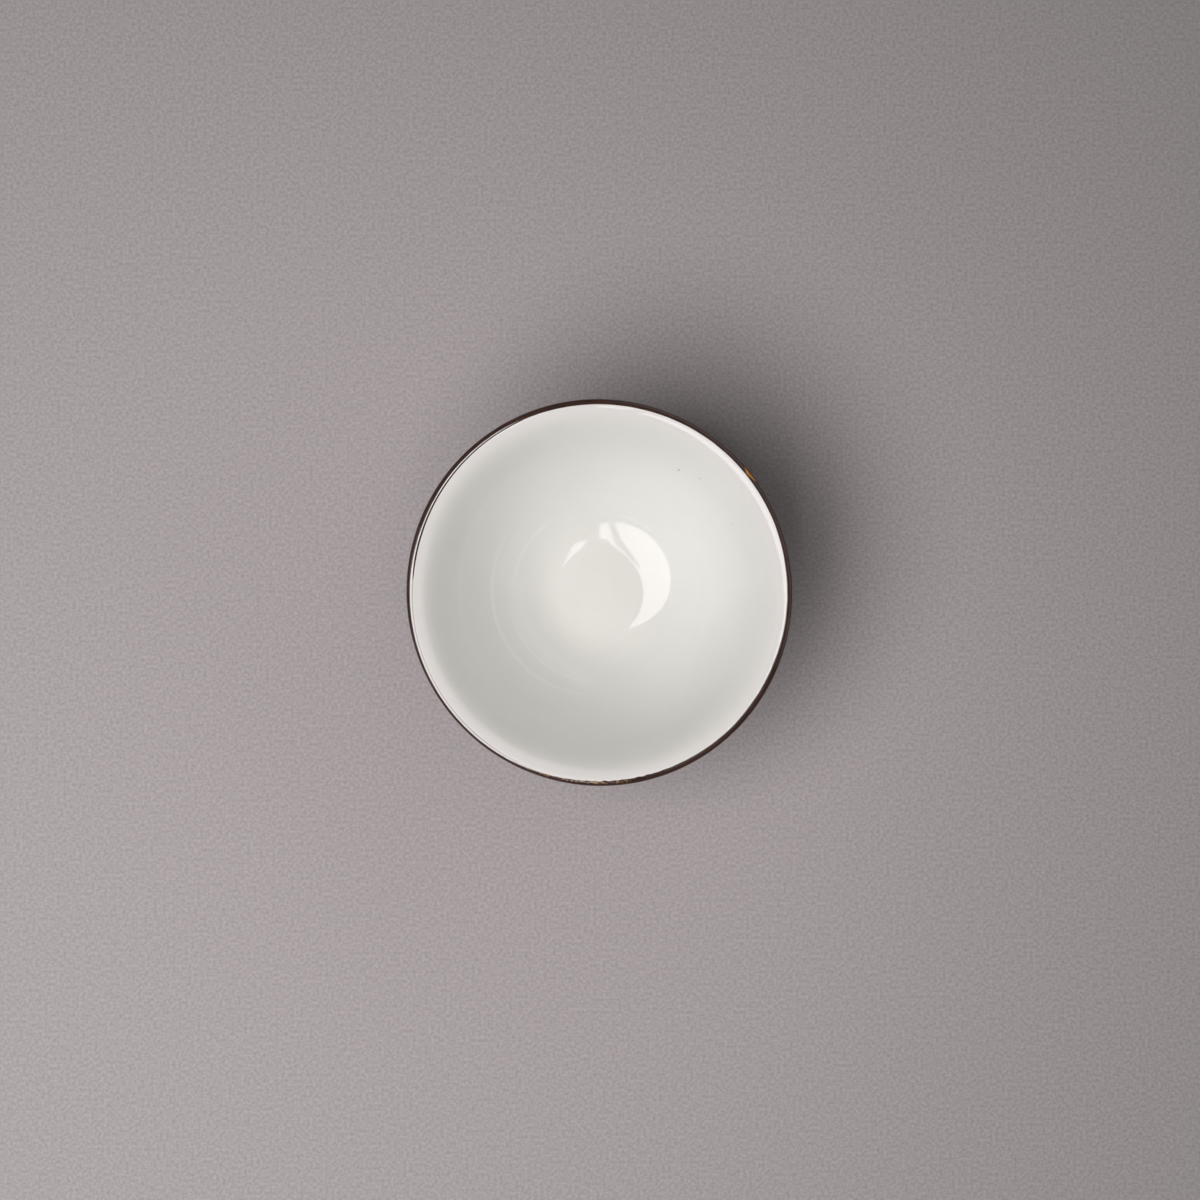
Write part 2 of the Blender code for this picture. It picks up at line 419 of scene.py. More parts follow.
# %% [markdown]
# ## The brown line on the lip
# Brushed iron stands a little proud of the glaze beside it, and the hairs of the brush leave fine ridges
# along it. The ridges are in the mesh, because the lip is seen at its edge, where a bump alone would leave
# a perfect line.

# %% Make the rim line
LINE_PROUD = 0.000015
LINE_EDGE = 0.00006
RIDGE = 0.000004
RIDGE_PITCH = 0.00022
RIDGE_WANDER = 0.00008


def brushed_top(angles, lengths):
    """A thin proud layer with ridges that follow the brush and wander a little."""
    wander = RIDGE_WANDER * waves(angles, seed=7, lowest=1, highest=6)
    ridges = RIDGE * np.sin(2 * math.pi * (lengths + wander) / RIDGE_PITCH)
    from_start = lengths - lengths[:, :1]
    from_end = lengths[:, -1:] - lengths
    rise = np.clip(np.minimum(from_start, from_end) / LINE_EDGE, 0.0, 1.0)
    return (LINE_PROUD + ridges) * rise


rim_line = coat(
    "brushed_rim_line",
    upper,
    crest_length - inner_edge(brush_angles) + JOINT,
    lower_edge(brush_angles),
    brushed_top,
)
dress(rim_line, "rim_line")

# %% [markdown]
# ## The brown glaze outside
# Iron glaze runs while it melts. It gathers in soft runs down the belly and stops above the foot in a
# rounded roll. The runs are waves round the cup that grow on the way down.

# %% Make the outside glaze
ROLL = 0.00016
ROLL_LENGTH = 0.0011
ROLL_SPREAD = ROLL_LENGTH / 2.2
ROUND_LENGTH = ROLL_LENGTH / 3
ROUND_DEPTH = COAT * 0.96
RUN = 0.00005
FOOT_LINE_WANDER = 0.00022
foot_line = upper.length[-1]


def round_edge(from_edge):
    """How far the face of a glaze sinks towards the clay where it ends in a round edge."""
    share = np.clip(from_edge / ROUND_LENGTH, 0.0, 1.0)
    return ROUND_DEPTH * (np.sqrt(1 - (1 - share) ** 2) - 1)


def running_top(angles, lengths):
    """A face with soft runs, a roll at its lower end and a round edge there."""
    way_down = (lengths - crest_length) / (foot_line - crest_length)
    runs = RUN * waves(angles, seed=8, lowest=5, highest=26) * way_down**2
    from_end = lengths[:, -1:] - lengths
    roll = ROLL * np.exp(-(((from_end - ROLL_LENGTH / 2) / ROLL_SPREAD) ** 2))
    return runs + roll + round_edge(from_end)


outside_glaze = coat(
    "outside_brown_glaze",
    upper,
    lower_edge(all_angles) + 2 * JOINT,
    foot_line - np.abs(FOOT_LINE_WANDER * waves(all_angles, seed=9, lowest=2, highest=14)),
    running_top,
)
dress(outside_glaze, "outside_glaze")

# %% [markdown]
# ## Under the foot
# The recess inside the foot ring has its own patch of white glaze. The ring between is wiped bare, so that
# the cup doesn't stick to the kiln shelf. The clay body is one solid from the ring up to the lip, and all
# of it but the ring is under the coats.

# %% Make the recess glaze
RECESS_CORNER = 0.0012
recess_centre = (RECESS_RADIUS - RECESS_CORNER, recess_depth - RECESS_CORNER)
recess_wall = straight((RECESS_RADIUS, bare_height), (RECESS_RADIUS, recess_centre[1]), count=30)
recess_corner = arc(recess_centre, RECESS_CORNER, 0, 90, count=60)
recess_ceiling = straight((recess_centre[0], recess_depth), (0.0, recess_depth), count=80)
recess = Outline(recess_wall, recess_corner, recess_ceiling)


def recess_top(angles, lengths):
    """A face with a round edge where the glaze was wiped off, the same at all angles."""
    return round_edge(lengths - lengths[:, :1])


recess_glaze = coat(
    "recess_white_glaze",
    recess,
    np.abs(FOOT_LINE_WANDER * waves(all_angles, seed=10, lowest=2, highest=14)),
    np.full(STEPS, recess.length[-1]),
    recess_top,
)
dress(recess_glaze, "foot_recess_glaze")

# %% Make the clay body with its bare foot ring
BOND_GAP = 0.00003
UNDER_COAT = COAT + BOND_GAP
RING_WIDTH = 0.0013
OUTER_ROUND = 0.0004
INNER_ROUND = OUTER_ROUND / 2
ring_outer = foot_wall(OUTER_ROUND)[0] - UNDER_COAT
ring_inner = ring_outer - OUTER_ROUND - RING_WIDTH - INNER_ROUND
outer_centre = (ring_outer - OUTER_ROUND, OUTER_ROUND)
inner_centre = (ring_inner + INNER_ROUND, INNER_ROUND)
body_rows = upper.rows(np.zeros(1), np.full(1, upper.length[-1]))[0]
recess_rows = recess.rows(np.zeros(1), np.full(1, recess.length[-1]))[0]
body_section = np.concatenate(
    [
        upper.places(body_rows, -UNDER_COAT),
        arc(outer_centre, OUTER_ROUND, 0, -90, count=8),
        arc(inner_centre, INNER_ROUND, -90, -180, count=6),
        recess.places(recess_rows, -UNDER_COAT),
    ]
)
clay_body = turned("thrown_clay_body", np.repeat(body_section[None], STEPS, axis=0))
dress(clay_body, "porcelain_body")
print("clay body", len(clay_body.data.polygons), "faces")
print("foot ring", round(2 * MM * ring_outer, 1), "mm across")

# %% [markdown]
# ## The touch of gold
# One dab of overglaze gold crosses the brown line. It was laid with the tip of a brush that pointed at the
# crest, so it is a small leaf, widest in its middle and pointed at both ends, with a tip that leans. It is
# a small grid bent round the lip, thin at its edges.

# %% Sizes of the gold dab, and its streaks as height shares, counts and slants
GOLD_ANGLE = math.radians(38.0)
GOLD_SPREAD = math.radians(3.7)
GOLD_TIP = 0.00003
GOLD_REACH = 0.0021
GOLD_PROUD = 0.00007
GOLD_BACK = 0.00001
GOLD_ROWS = 28
GOLD_COLUMNS = 40
GOLD_MARGIN = 0.002
GOLD_LEAN = 0.25
GOLD_LEAN_POWER = 6
GOLD_POINT = 1.5
GOLD_EDGE_POWER = 0.3
GOLD_STREAKS = [(0.12, 23, 0), (0.08, 41, 3)]


def gold_place(across, along_lip, proud):
    """A point of the dab: across from -1 to 1, along the lip's outline from 0 at the tip to 1."""
    length = crest_length + GOLD_TIP + GOLD_REACH * along_lip
    lean = GOLD_LEAN * (1 - along_lip) ** GOLD_LEAN_POWER
    half_width = (4 * along_lip * (1 - along_lip)) ** GOLD_POINT
    angle = GOLD_ANGLE + GOLD_SPREAD * (across * half_width + lean)
    radius, height = upper.places(np.array([length]), np.array([proud]))[0]
    return round_axis(angle, fired(radius, angle), height)


def gold_height(across, along_lip):
    """How proud the gold stands: full in the middle, thin at the edge, with streaks of the brush."""
    edge = (1 - across**2) * (1 - (2 * along_lip - 1) ** 2)
    streaks = 0.0
    for share, count, slant in GOLD_STREAKS:
        streaks += share * math.sin(across * count + slant * along_lip)
    return LINE_PROUD + GOLD_BACK + GOLD_PROUD * edge**GOLD_EDGE_POWER * (1 + streaks)


print("gold dab", round(MM * GOLD_REACH, 1), "mm long")


# %% Make the gold dab
def gold_grid(bm, height_of):
    """One side of the dab as a grid of points joined by faces."""
    grid = []
    for row in range(GOLD_ROWS + 1):
        along_lip = GOLD_MARGIN + (1 - 2 * GOLD_MARGIN) * row / GOLD_ROWS
        line = []
        for column in range(GOLD_COLUMNS + 1):
            across = 2 * column / GOLD_COLUMNS - 1
            line.append(bm.verts.new(gold_place(across, along_lip, height_of(across, along_lip))))
        grid.append(line)
    for line, after in zip(grid, grid[1:]):
        for column in range(GOLD_COLUMNS):
            beside = column + 1
            bm.faces.new((line[column], line[beside], after[beside], after[column]))


bm = bmesh.new()
gold_grid(bm, gold_height)
gold_grid(bm, lambda across, along_lip: LINE_PROUD + GOLD_BACK / 2)
bmesh.ops.bridge_loops(bm, edges=[edge for edge in bm.edges if edge.is_boundary])
bmesh.ops.recalc_face_normals(bm, faces=bm.faces)
gold_mesh = bpy.data.meshes.new("gold_dab")
bm.to_mesh(gold_mesh)
bm.free()
gold_mesh.shade_smooth()
gold_dab = placed("gold_dab", gold_mesh)
dress(gold_dab, "gold_accent")
print("gold dab", len(gold_mesh.polygons), "faces")

# %% [markdown]
# ## Finishes from nodes
# Every finish is a Principled shader with its own procedural detail. A few helpers keep the node trees
# readable: they add a node and set or join its sockets, do sums, mix colours, and give coordinates that
# suit a turned form, where marks run round the cup or down it. The direction round the axis is kept as a
# unit vector, so that no pattern has a seam.


# %% Helpers that add nodes and do sums
def connect(tree, node, sockets):
    """Sets a node's sockets to values, or joins them to other nodes' outputs."""
    for name, value in sockets.items():
        if isinstance(value, bpy.types.NodeSocket):
            tree.links.new(value, node.inputs[name])
        else:
            node.inputs[name].default_value = value


def add(tree, kind, sockets=None, **settings):
    """A node with its settings and sockets."""
    node = tree.nodes.new(kind)
    for name, value in settings.items():
        setattr(node, name, value)
    connect(tree, node, sockets or {})
    return node


def calculate(tree, operation, *values):
    """The result of one sum on numbers or sockets."""
    return add(tree, "ShaderNodeMath", dict(enumerate(values)), operation=operation).outputs[0]


def added(tree, first, *others):
    """All the values added up."""
    for other in others:
        first = calculate(tree, "ADD", first, other)
    return first


def multiplied(tree, first, *others):
    """All the values multiplied."""
    for other in others:
        first = calculate(tree, "MULTIPLY", first, other)
    return first


def mean(tree, first, second, share=0.5):
    """A mean of two values in which the first has a share."""
    return added(tree, multiplied(tree, first, share), multiplied(tree, second, 1 - share))


def distance(tree, first, second):
    """How far apart two numbers are."""
    return calculate(tree, "ABSOLUTE", calculate(tree, "SUBTRACT", first, second))


def spread(tree, value, source, target=(0.0, 1.0)):
    """A number moved from a source range to a target range and kept inside it."""
    return add(tree, "ShaderNodeMapRange", dict(enumerate((value, *source, *target)))).outputs[0]


def shifted(base, offsets):
    """A range given by the distances of its two ends from a base."""
    return (base + offsets[0], base + offsets[1])


print("helpers for sums ready")


# %% Helpers for vectors, colours and bumps
def finish(name, roughness, metallic=0.0):
    """A new material with its Principled shader."""
    material = bpy.data.materials.new(name)
    material.use_nodes = True
    shader = material.node_tree.nodes["Principled BSDF"]
    connect(material.node_tree, shader, {"Roughness": roughness, "Metallic": metallic})
    return material, shader


def vector_sum(tree, operation, sockets):
    """A node that does one sum on vectors."""
    return add(tree, "ShaderNodeVectorMath", sockets, operation=operation)


def reach_along(tree, vector, angle):
    """How far a vector reaches in a level direction."""
    direction = round_axis(angle, 1.0, 0.0)
    return vector_sum(tree, "DOT_PRODUCT", {0: vector, 1: direction}).outputs["Value"]


def scaled(tree, vector, factor):
    """A vector or colour times a number."""
    return vector_sum(tree, "SCALE", {0: vector, "Scale": factor}).outputs[0]


def rgba(colour):
    """A linear colour with its alpha, or a socket as it is."""
    return colour if isinstance(colour, bpy.types.NodeSocket) else (*colour, 1.0)


def blend(tree, factor, first, second):
    """A colour between two, each a socket or a linear colour."""
    sockets = {0: factor, 6: rgba(first), 7: rgba(second)}
    return add(tree, "ShaderNodeMix", sockets, data_type="RGBA", clamp_factor=True).outputs[2]


def relief(tree, height, depth, below=None):
    """A bump of a real height in metres, on top of another bump if there is one."""
    sockets = {"Height": height, "Strength": 1.0, "Distance": depth}
    if below is not None:
        sockets["Normal"] = below
    return add(tree, "ShaderNodeBump", sockets).outputs[0]


print("helpers for vectors ready")

# %% Helpers for places on the cup and for noise
NOISE_SPAN = (0.3, 0.7)


def turned_position(tree):
    """Sockets for a place: its height, its radius before the firing, and its direction round the axis."""
    place = add(tree, "ShaderNodeTexCoord").outputs["Object"]
    split = add(tree, "ShaderNodeSeparateXYZ", {0: place})
    flat = add(tree, "ShaderNodeCombineXYZ", {0: split.outputs[0], 1: split.outputs[1]}).outputs[0]
    fired_radius = vector_sum(tree, "LENGTH", {0: flat}).outputs["Value"]
    around = vector_sum(tree, "NORMALIZE", {0: flat}).outputs[0]
    facing = reach_along(tree, around, OVAL_ANGLE)
    oval = calculate(tree, "MULTIPLY_ADD", multiplied(tree, facing, facing), 2.0, -1.0)
    share = calculate(tree, "POWER", calculate(tree, "DIVIDE", fired_radius, rim_radius), 2.0)
    shrink = calculate(tree, "MULTIPLY_ADD", multiplied(tree, oval, share), -OVAL, 1.0)
    radius = multiplied(tree, fired_radius, shrink)
    return SimpleNamespace(place=place, flat=flat, height=split.outputs[2], radius=radius, around=around)


def turn_from(tree, spot, azimuth):
    """The angle in radians from an azimuth in degrees, so that its seam is opposite that azimuth."""
    angle = math.radians(azimuth)
    ahead = reach_along(tree, spot.flat, angle)
    aside = reach_along(tree, spot.flat, angle + math.pi / 2)
    return calculate(tree, "ARCTAN2", aside, ahead)


def noise(tree, place, scale, detail, roughness=0.5):
    """Cloudy noise, most of which lies in NOISE_SPAN."""
    sockets = {"Vector": place, "Scale": scale, "Detail": detail, "Roughness": roughness}
    return add(tree, "ShaderNodeTexNoise", sockets).outputs["Fac"]


def marks(tree, spot, travel, round_scale, travel_scale, detail=3.0):
    """Noise in which marks run round the cup or across it, by the two scales."""
    shift = add(tree, "ShaderNodeCombineXYZ", {2: multiplied(tree, travel, travel_scale)}).outputs[0]
    where = vector_sum(tree, "ADD", {0: scaled(tree, spot.around, round_scale), 1: shift}).outputs[0]
    return noise(tree, where, scale=1.0, detail=detail)


def turned_finish(name, sockets_of, roughness, metallic=0.0):
    """A material whose shader takes what a function makes from a place on a turned piece."""
    material, shader = finish(name, roughness, metallic)
    tree = material.node_tree
    connect(tree, shader, sockets_of(tree, turned_position(tree)))
    return material


def wear(piece, material):
    """The piece takes a material."""
    piece.data.materials.append(material)
    print(piece.name, "has", material.name, "of", len(material.node_tree.nodes), "nodes")


print("noise lies mostly in", NOISE_SPAN)

# %% [markdown]
# ## White glaze
# Clear glaze over porcelain is a faintly green white with a sharp gloss, greener on the wall than in the
# well. Up close it has soft clouds where it is thicker, faint rings left by the turning, thin pale arcs
# painted along the thrown rings as painted highlights, a gentle orange-peel in the gloss, and a few dark
# pinholes where a bubble burst. On the left a hair-thin trace of the brush lies just inside the crest. All
# but the trace are slight, because the eye reads the surface mostly by what it mirrors.

# %% Tones of the white glaze
GLAZE_WHITE = (0.836, 0.832, 0.776)
GLAZE_WALL = (0.817, 0.835, 0.776)
GLAZE_LIP = (0.870, 0.860, 0.808)
GLAZE_GLOSS = 0.42
GLAZE_ROUGHNESS = (0.03, 0.07)
WALL_RADII = (rim_radius * 0.28, rim_radius * 0.48)
LIP_RADII = (rim_radius * 0.84, rim_radius * 0.94)
CLOUD_SHARE = 0.7
THICK_SPAN = (0.4, 0.6)
THICK_TONE = 0.978
PEEL_HEIGHT = 0.000002
TURNING_HEIGHT = 0.000001
print("wall from", np.round(MM * np.array(WALL_RADII), 1), "mm")

# %% Painted highlight arcs along the thrown rings: azimuth, radius, its drift, half spans of full and no strength, half width, strength
GLAZE_RING_HIGHLIGHT = (0.875, 0.882, 0.826)
RING_HIGHLIGHT_ARCS = [
    (205, 0.01828, -0.00053, 25, 68, 0.00020, 1.0),
    (228, 0.01556, -0.00015, 20, 40, 0.00016, 0.6),
    (150, 0.01503, 0.0, 14, 32, 0.00016, 0.8),
    (62, 0.01400, -0.0003, 8, 18, 0.00015, 0.7),
    (5, 0.01885, 0.0, 25, 50, 0.00010, 0.5),
    (350, 0.01940, 0.0, 20, 40, 0.00012, 0.35),
    (160, 0.0240, -0.0006, 10, 90, 0.00040, 0.3),
]


def painted_ring_highlights(tree, spot):
    """Painted highlights: thin pale arcs along the thrown rings, each soft at its ends."""
    arcs = []
    for azimuth, arc_radius, drift, full, lost, half_width, strength in RING_HIGHLIGHT_ARCS:
        turn = turn_from(tree, spot, azimuth)
        ends = (math.radians(full), math.radians(lost))
        shown = spread(tree, calculate(tree, "ABSOLUTE", turn), ends, (strength, 0.0))
        middle = calculate(tree, "MULTIPLY_ADD", turn, drift, arc_radius)
        away = distance(tree, spot.radius, middle)
        line = spread(tree, away, (0.0, 2 * half_width), (1.0, 0.0))
        arcs.append(multiplied(tree, line, shown))
    return added(tree, *arcs)


print("pale arcs:", len(RING_HIGHLIGHT_ARCS))

# %% Pinholes: place seen from above, size and depth of colour
PINHOLE = (0.20, 0.17, 0.14)
PINHOLE_CORE = 0.4
PINHOLES = [
    (0.0134, 0.0207, 0.00018, 0.75),
    (0.0170, 0.0192, 0.00015, 0.45),
    (0.0224, 0.0116, 0.00012, 0.4),
]


def round_spot(tree, spot, x, y, size, depth):
    """A depth inside a small round spot seen from above, fading to nothing at its edge."""
    away = vector_sum(tree, "DISTANCE", {0: spot.flat, 1: (x, y, 0.0)}).outputs["Value"]
    return spread(tree, away, (size * PINHOLE_CORE, size), (depth, 0.0))


print("pinholes:", len(PINHOLES))

# %% The brush's trace inside the crest with its faint stain, and the darker glaze outside the crest beside the line
TRACE_BROWN = (0.045, 0.027, 0.022)
# The glaze outside the crest is darker on the near half, past the trace's end.
GLAZE_PAST_CREST = (0.62, 0.59, 0.56)
TRACE_FROM = 180
TRACE_TURNS = np.radians(np.array((113, 162, 175, 195, 250)) - TRACE_FROM).tolist()
TRACE_START, TRACE_THICK, TRACE_END, TRACE_BACK, TRACE_LOST = TRACE_TURNS
TRACE_IN = (0.00011, 0.00030)
TRACE_RETURN = 0.00022
TRACE_HALVES = (0.00008, 0.00013)
TRACE_SOFT = 0.00003
TRACE_LANDING = (-0.02, 0.05)
TRACE_LIFTING = (-0.02, 0.03)
TRACE_FADE = 0.1
TRACE_DARK = 0.97
STAIN_SHARE = 0.6
STAIN_FADE = 0.35
STAIN_DARK = 0.45
CREST_SOFT = 0.0001


def crest_darkening(tree, spot):
    """Where the glaze outside the crest is darker: on the near half, past the trace's end."""
    over_crest = spread(tree, spot.radius, shifted(lip_centre[0], (-CREST_SOFT, CREST_SOFT)))
    past_trace = spread(tree, turn_from(tree, spot, TRACE_FROM), shifted(TRACE_END, (0.0, TRACE_FADE)))
    return multiplied(tree, over_crest, past_trace)


def brush_trace(tree, spot):
    """A hair-thin brown trace that swells along its way, ends, and goes on as a faint stain."""
    turn = turn_from(tree, spot, TRACE_FROM)
    swelling = (TRACE_START, TRACE_THICK)
    inward = spread(tree, turn, swelling, [lip_centre[0] - inside for inside in TRACE_IN])
    back = spread(tree, turn, (TRACE_END, TRACE_BACK), (0.0, TRACE_RETURN))
    swell = spread(tree, turn, swelling, TRACE_HALVES)
    narrow = spread(tree, turn, shifted(TRACE_END, (-TRACE_FADE, 0.0)), (1.0, STAIN_SHARE))
    away = distance(tree, spot.radius, added(tree, inward, back))
    past_edge = calculate(tree, "SUBTRACT", away, multiplied(tree, swell, narrow))
    line = spread(tree, past_edge, (-TRACE_SOFT / 2, TRACE_SOFT), (1.0, 0.0))
    started = spread(tree, turn, shifted(TRACE_START, TRACE_LANDING))
    dark = spread(tree, turn, shifted(TRACE_END, TRACE_LIFTING), (TRACE_DARK, 0.0))
    stain = spread(tree, turn, shifted(TRACE_LOST, (-STAIN_FADE, 0.0)), (STAIN_DARK, 0.0))
    return multiplied(tree, line, started, added(tree, dark, stain))


print("trace", round(MM * lip_centre[0] * (TRACE_END - TRACE_START), 1), "mm long")


# %% Make the white glaze
def white_glaze(tree, spot):
    """White glaze with clouds, rings, painted highlight arcs, pinholes and the brush's trace."""
    travel = added(tree, spot.radius, spot.height)
    clouds = noise(tree, spot.place, scale=90.0, detail=3.0)
    turning = marks(tree, spot, travel, round_scale=1.2, travel_scale=900.0, detail=4.0)
    colour = blend(tree, spread(tree, spot.radius, WALL_RADII), GLAZE_WHITE, GLAZE_WALL)
    tone = mean(tree, clouds, turning, CLOUD_SHARE)
    colour = scaled(tree, colour, spread(tree, tone, THICK_SPAN, (1.0, THICK_TONE)))
    # Painted highlights: pale arcs along the thrown rings.
    colour = blend(tree, painted_ring_highlights(tree, spot), colour, GLAZE_RING_HIGHLIGHT)
    colour = blend(tree, spread(tree, spot.radius, LIP_RADII), colour, GLAZE_LIP)
    # The glaze outside the crest is darker on the near half.
    colour = blend(tree, crest_darkening(tree, spot), colour, GLAZE_PAST_CREST)
    for pinhole in PINHOLES:
        colour = blend(tree, round_spot(tree, spot, *pinhole), colour, PINHOLE)
    colour = blend(tree, brush_trace(tree, spot), colour, TRACE_BROWN)
    peel = relief(tree, noise(tree, spot.place, scale=260.0, detail=2.0), PEEL_HEIGHT)
    return {
        "Base Color": colour,
        "Roughness": spread(tree, clouds, NOISE_SPAN, GLAZE_ROUGHNESS),
        "Normal": relief(tree, turning, TURNING_HEIGHT, peel),
        "Specular IOR Level": GLAZE_GLOSS,
    }


glaze = turned_finish("white_glaze", white_glaze, roughness=0.05)
wear(bowl_glaze, glaze)
wear(recess_glaze, glaze)

# %% [markdown]
# ## Iron-brown glaze
# Iron glaze is nearly black where it is thick and breaks to a redder brown where it is thin, along the
# lip, in streaks and at its lower edge. The streaks run down with the melt, and small crystals catch the
# light.

# %% Make the brown glaze
IRON_DEEP = (0.030, 0.017, 0.013)
IRON_THIN = (0.085, 0.040, 0.026)
IRON_SPECK = (0.14, 0.085, 0.05)
IRON_ROUGHNESS = (0.06, 0.16)
THIN_SPAN = (0.42, 0.68)
THIN_MOST = 0.6
LIP_THIN_BELOW = 0.006
LIP_THIN = 0.35
FOOT_THIN_ABOVE = (0.0004, 0.0012)
FOOT_THIN = 0.6
SPECK_SPAN = (0.08, 0.16)
SPECK_MOST = 0.7
SPECK_CLOUDS = (0.5, 0.62)
STREAK_HEIGHT = 0.00001
IRON_PEEL_HEIGHT = 0.000008


def brown_glaze(tree, spot):
    """Iron glaze that breaks to red where it is thin, with crystals."""
    streaks = marks(tree, spot, spot.height, round_scale=40.0, travel_scale=120.0, detail=4.0)
    clouds = noise(tree, spot.place, scale=160.0, detail=4.0)
    near_lip = spread(tree, spot.height, shifted(cup_height, (-LIP_THIN_BELOW, 0.0)), (0.0, LIP_THIN))
    near_foot = spread(tree, spot.height, shifted(bare_height, FOOT_THIN_ABOVE), (FOOT_THIN, 0.0))
    uneven = spread(tree, mean(tree, streaks, clouds), THIN_SPAN, (0.0, THIN_MOST))
    colour = blend(tree, added(tree, uneven, near_lip, near_foot), IRON_DEEP, IRON_THIN)
    cells = add(tree, "ShaderNodeTexVoronoi", {"Vector": spot.place, "Scale": 1900.0})
    crystals = spread(tree, cells.outputs["Distance"], SPECK_SPAN, (SPECK_MOST, 0.0))
    specks = multiplied(tree, crystals, spread(tree, clouds, SPECK_CLOUDS))
    peel = relief(tree, noise(tree, spot.place, scale=420.0, detail=2.0), IRON_PEEL_HEIGHT)
    return {
        "Base Color": blend(tree, specks, colour, IRON_SPECK),
        "Roughness": spread(tree, clouds, NOISE_SPAN, IRON_ROUGHNESS),
        "Normal": relief(tree, streaks, STREAK_HEIGHT, peel),
    }


wear(outside_glaze, turned_finish("iron_brown_glaze", brown_glaze, roughness=0.1))

# %% [markdown]
# ## The brushed line
# The line is the same iron, laid by brush. Hair-fine streaks follow it round the lip, it is redder where
# the brush ran dry, and near the bottom of the picture its inner edge is worn to ochre specks.

# %% Make the line's finish
LINE_DARK = (0.033, 0.017, 0.013)
LINE_RED = (0.066, 0.030, 0.020)
LINE_WORN = (0.36, 0.24, 0.12)
LINE_ROUGHNESS = (0.07, 0.2)
LINE_SPAN = (0.38, 0.64)
HAIR_HEIGHT = 0.000003
WORN_ANGLE = math.radians(262)
WORN_FACING = (0.94, 0.985)
WORN_OUT = (0.0002, 0.00045)
WORN_DOWN = (-0.0006, -0.0003)
WORN_GRAIN = (0.5, 0.6)


def line_finish(tree, spot):
    """Brushed iron with streaks along the line and worn specks on the lip's top."""
    travel = calculate(tree, "SUBTRACT", spot.radius, spot.height)
    hairs = marks(tree, spot, travel, round_scale=9.0, travel_scale=6500.0)
    dry = marks(tree, spot, travel, round_scale=16.0, travel_scale=400.0)
    colour = blend(tree, spread(tree, mean(tree, hairs, dry), LINE_SPAN), LINE_DARK, LINE_RED)
    worn_side = spread(tree, reach_along(tree, spot.around, WORN_ANGLE), WORN_FACING)
    inner = spread(tree, spot.radius, shifted(lip_centre[0], WORN_OUT), (1.0, 0.0))
    on_top = spread(tree, spot.height, shifted(cup_height, WORN_DOWN))
    grain = noise(tree, spot.place, scale=2600.0, detail=3.0)
    wear_and_darkening = multiplied(tree, worn_side, inner, on_top, spread(tree, grain, WORN_GRAIN))
    return {
        "Base Color": blend(tree, wear_and_darkening, colour, LINE_WORN),
        "Roughness": spread(tree, dry, NOISE_SPAN, LINE_ROUGHNESS),
        "Normal": relief(tree, hairs, HAIR_HEIGHT),
    }


wear(rim_line, turned_finish("iron_brown_line", line_finish, roughness=0.12))

# %% [markdown]
# ## Gold and bare clay
# Overglaze gold is a metal film, brightest where the brush pressed. It is darker, nearly the brown, on the
# outer side of the lip. The bare ring is fired porcelain without glaze: chalky, a little warm, greyed on
# its contact face by use and flushed with iron beside the glaze line.

# %% Make the gold
GOLD_BRIGHT = (0.68, 0.34, 0.09)
GOLD_DULL = (0.24, 0.10, 0.028)
GOLD_DARK_LOWER = (0.075, 0.036, 0.018)
GOLD_ROUGHNESS = (0.42, 0.22)
GOLD_SPAN = (0.35, 0.6)
GOLD_DARK_DOWN = (-0.00034, -0.00018)
GOLD_GRAIN_HEIGHT = 0.000004


def gold_finish(tree, spot):
    """Streaked gold that is darker below the top of the lip."""
    strokes = marks(tree, spot, spot.height, round_scale=320.0, travel_scale=300.0)
    grain = noise(tree, spot.place, scale=3000.0, detail=2.0)
    colour = blend(tree, spread(tree, strokes, GOLD_SPAN), GOLD_DULL, GOLD_BRIGHT)
    # The gold turns darker, nearly to the brown, below the top of the lip.
    wear_and_darkening = spread(tree, spot.height, shifted(cup_height, GOLD_DARK_DOWN), (1.0, 0.0))
    return {
        "Base Color": blend(tree, wear_and_darkening, colour, GOLD_DARK_LOWER),
        "Roughness": spread(tree, strokes, NOISE_SPAN, GOLD_ROUGHNESS),
        "Normal": relief(tree, grain, GOLD_GRAIN_HEIGHT),
    }


wear(gold_dab, turned_finish("overglaze_gold", gold_finish, roughness=0.3, metallic=1.0))

# %% Make the bare porcelain
CLAY_PALE = (0.70, 0.67, 0.61)
CLAY_GREY = (0.52, 0.49, 0.44)
CLAY_FLUSH = (0.45, 0.27, 0.16)
CLAY_ROUGHNESS = (0.55, 0.8)
CLAY_SPAN = (0.4, 0.62)
RUBBED_HEIGHT = 0.00035
FLUSH_ABOVE = (-0.0006, 0.0004)
FLUSH_MOST = 0.8
CLAY_GRAIN_HEIGHT = 0.00004
CLAY_TURNING_HEIGHT = 0.00002


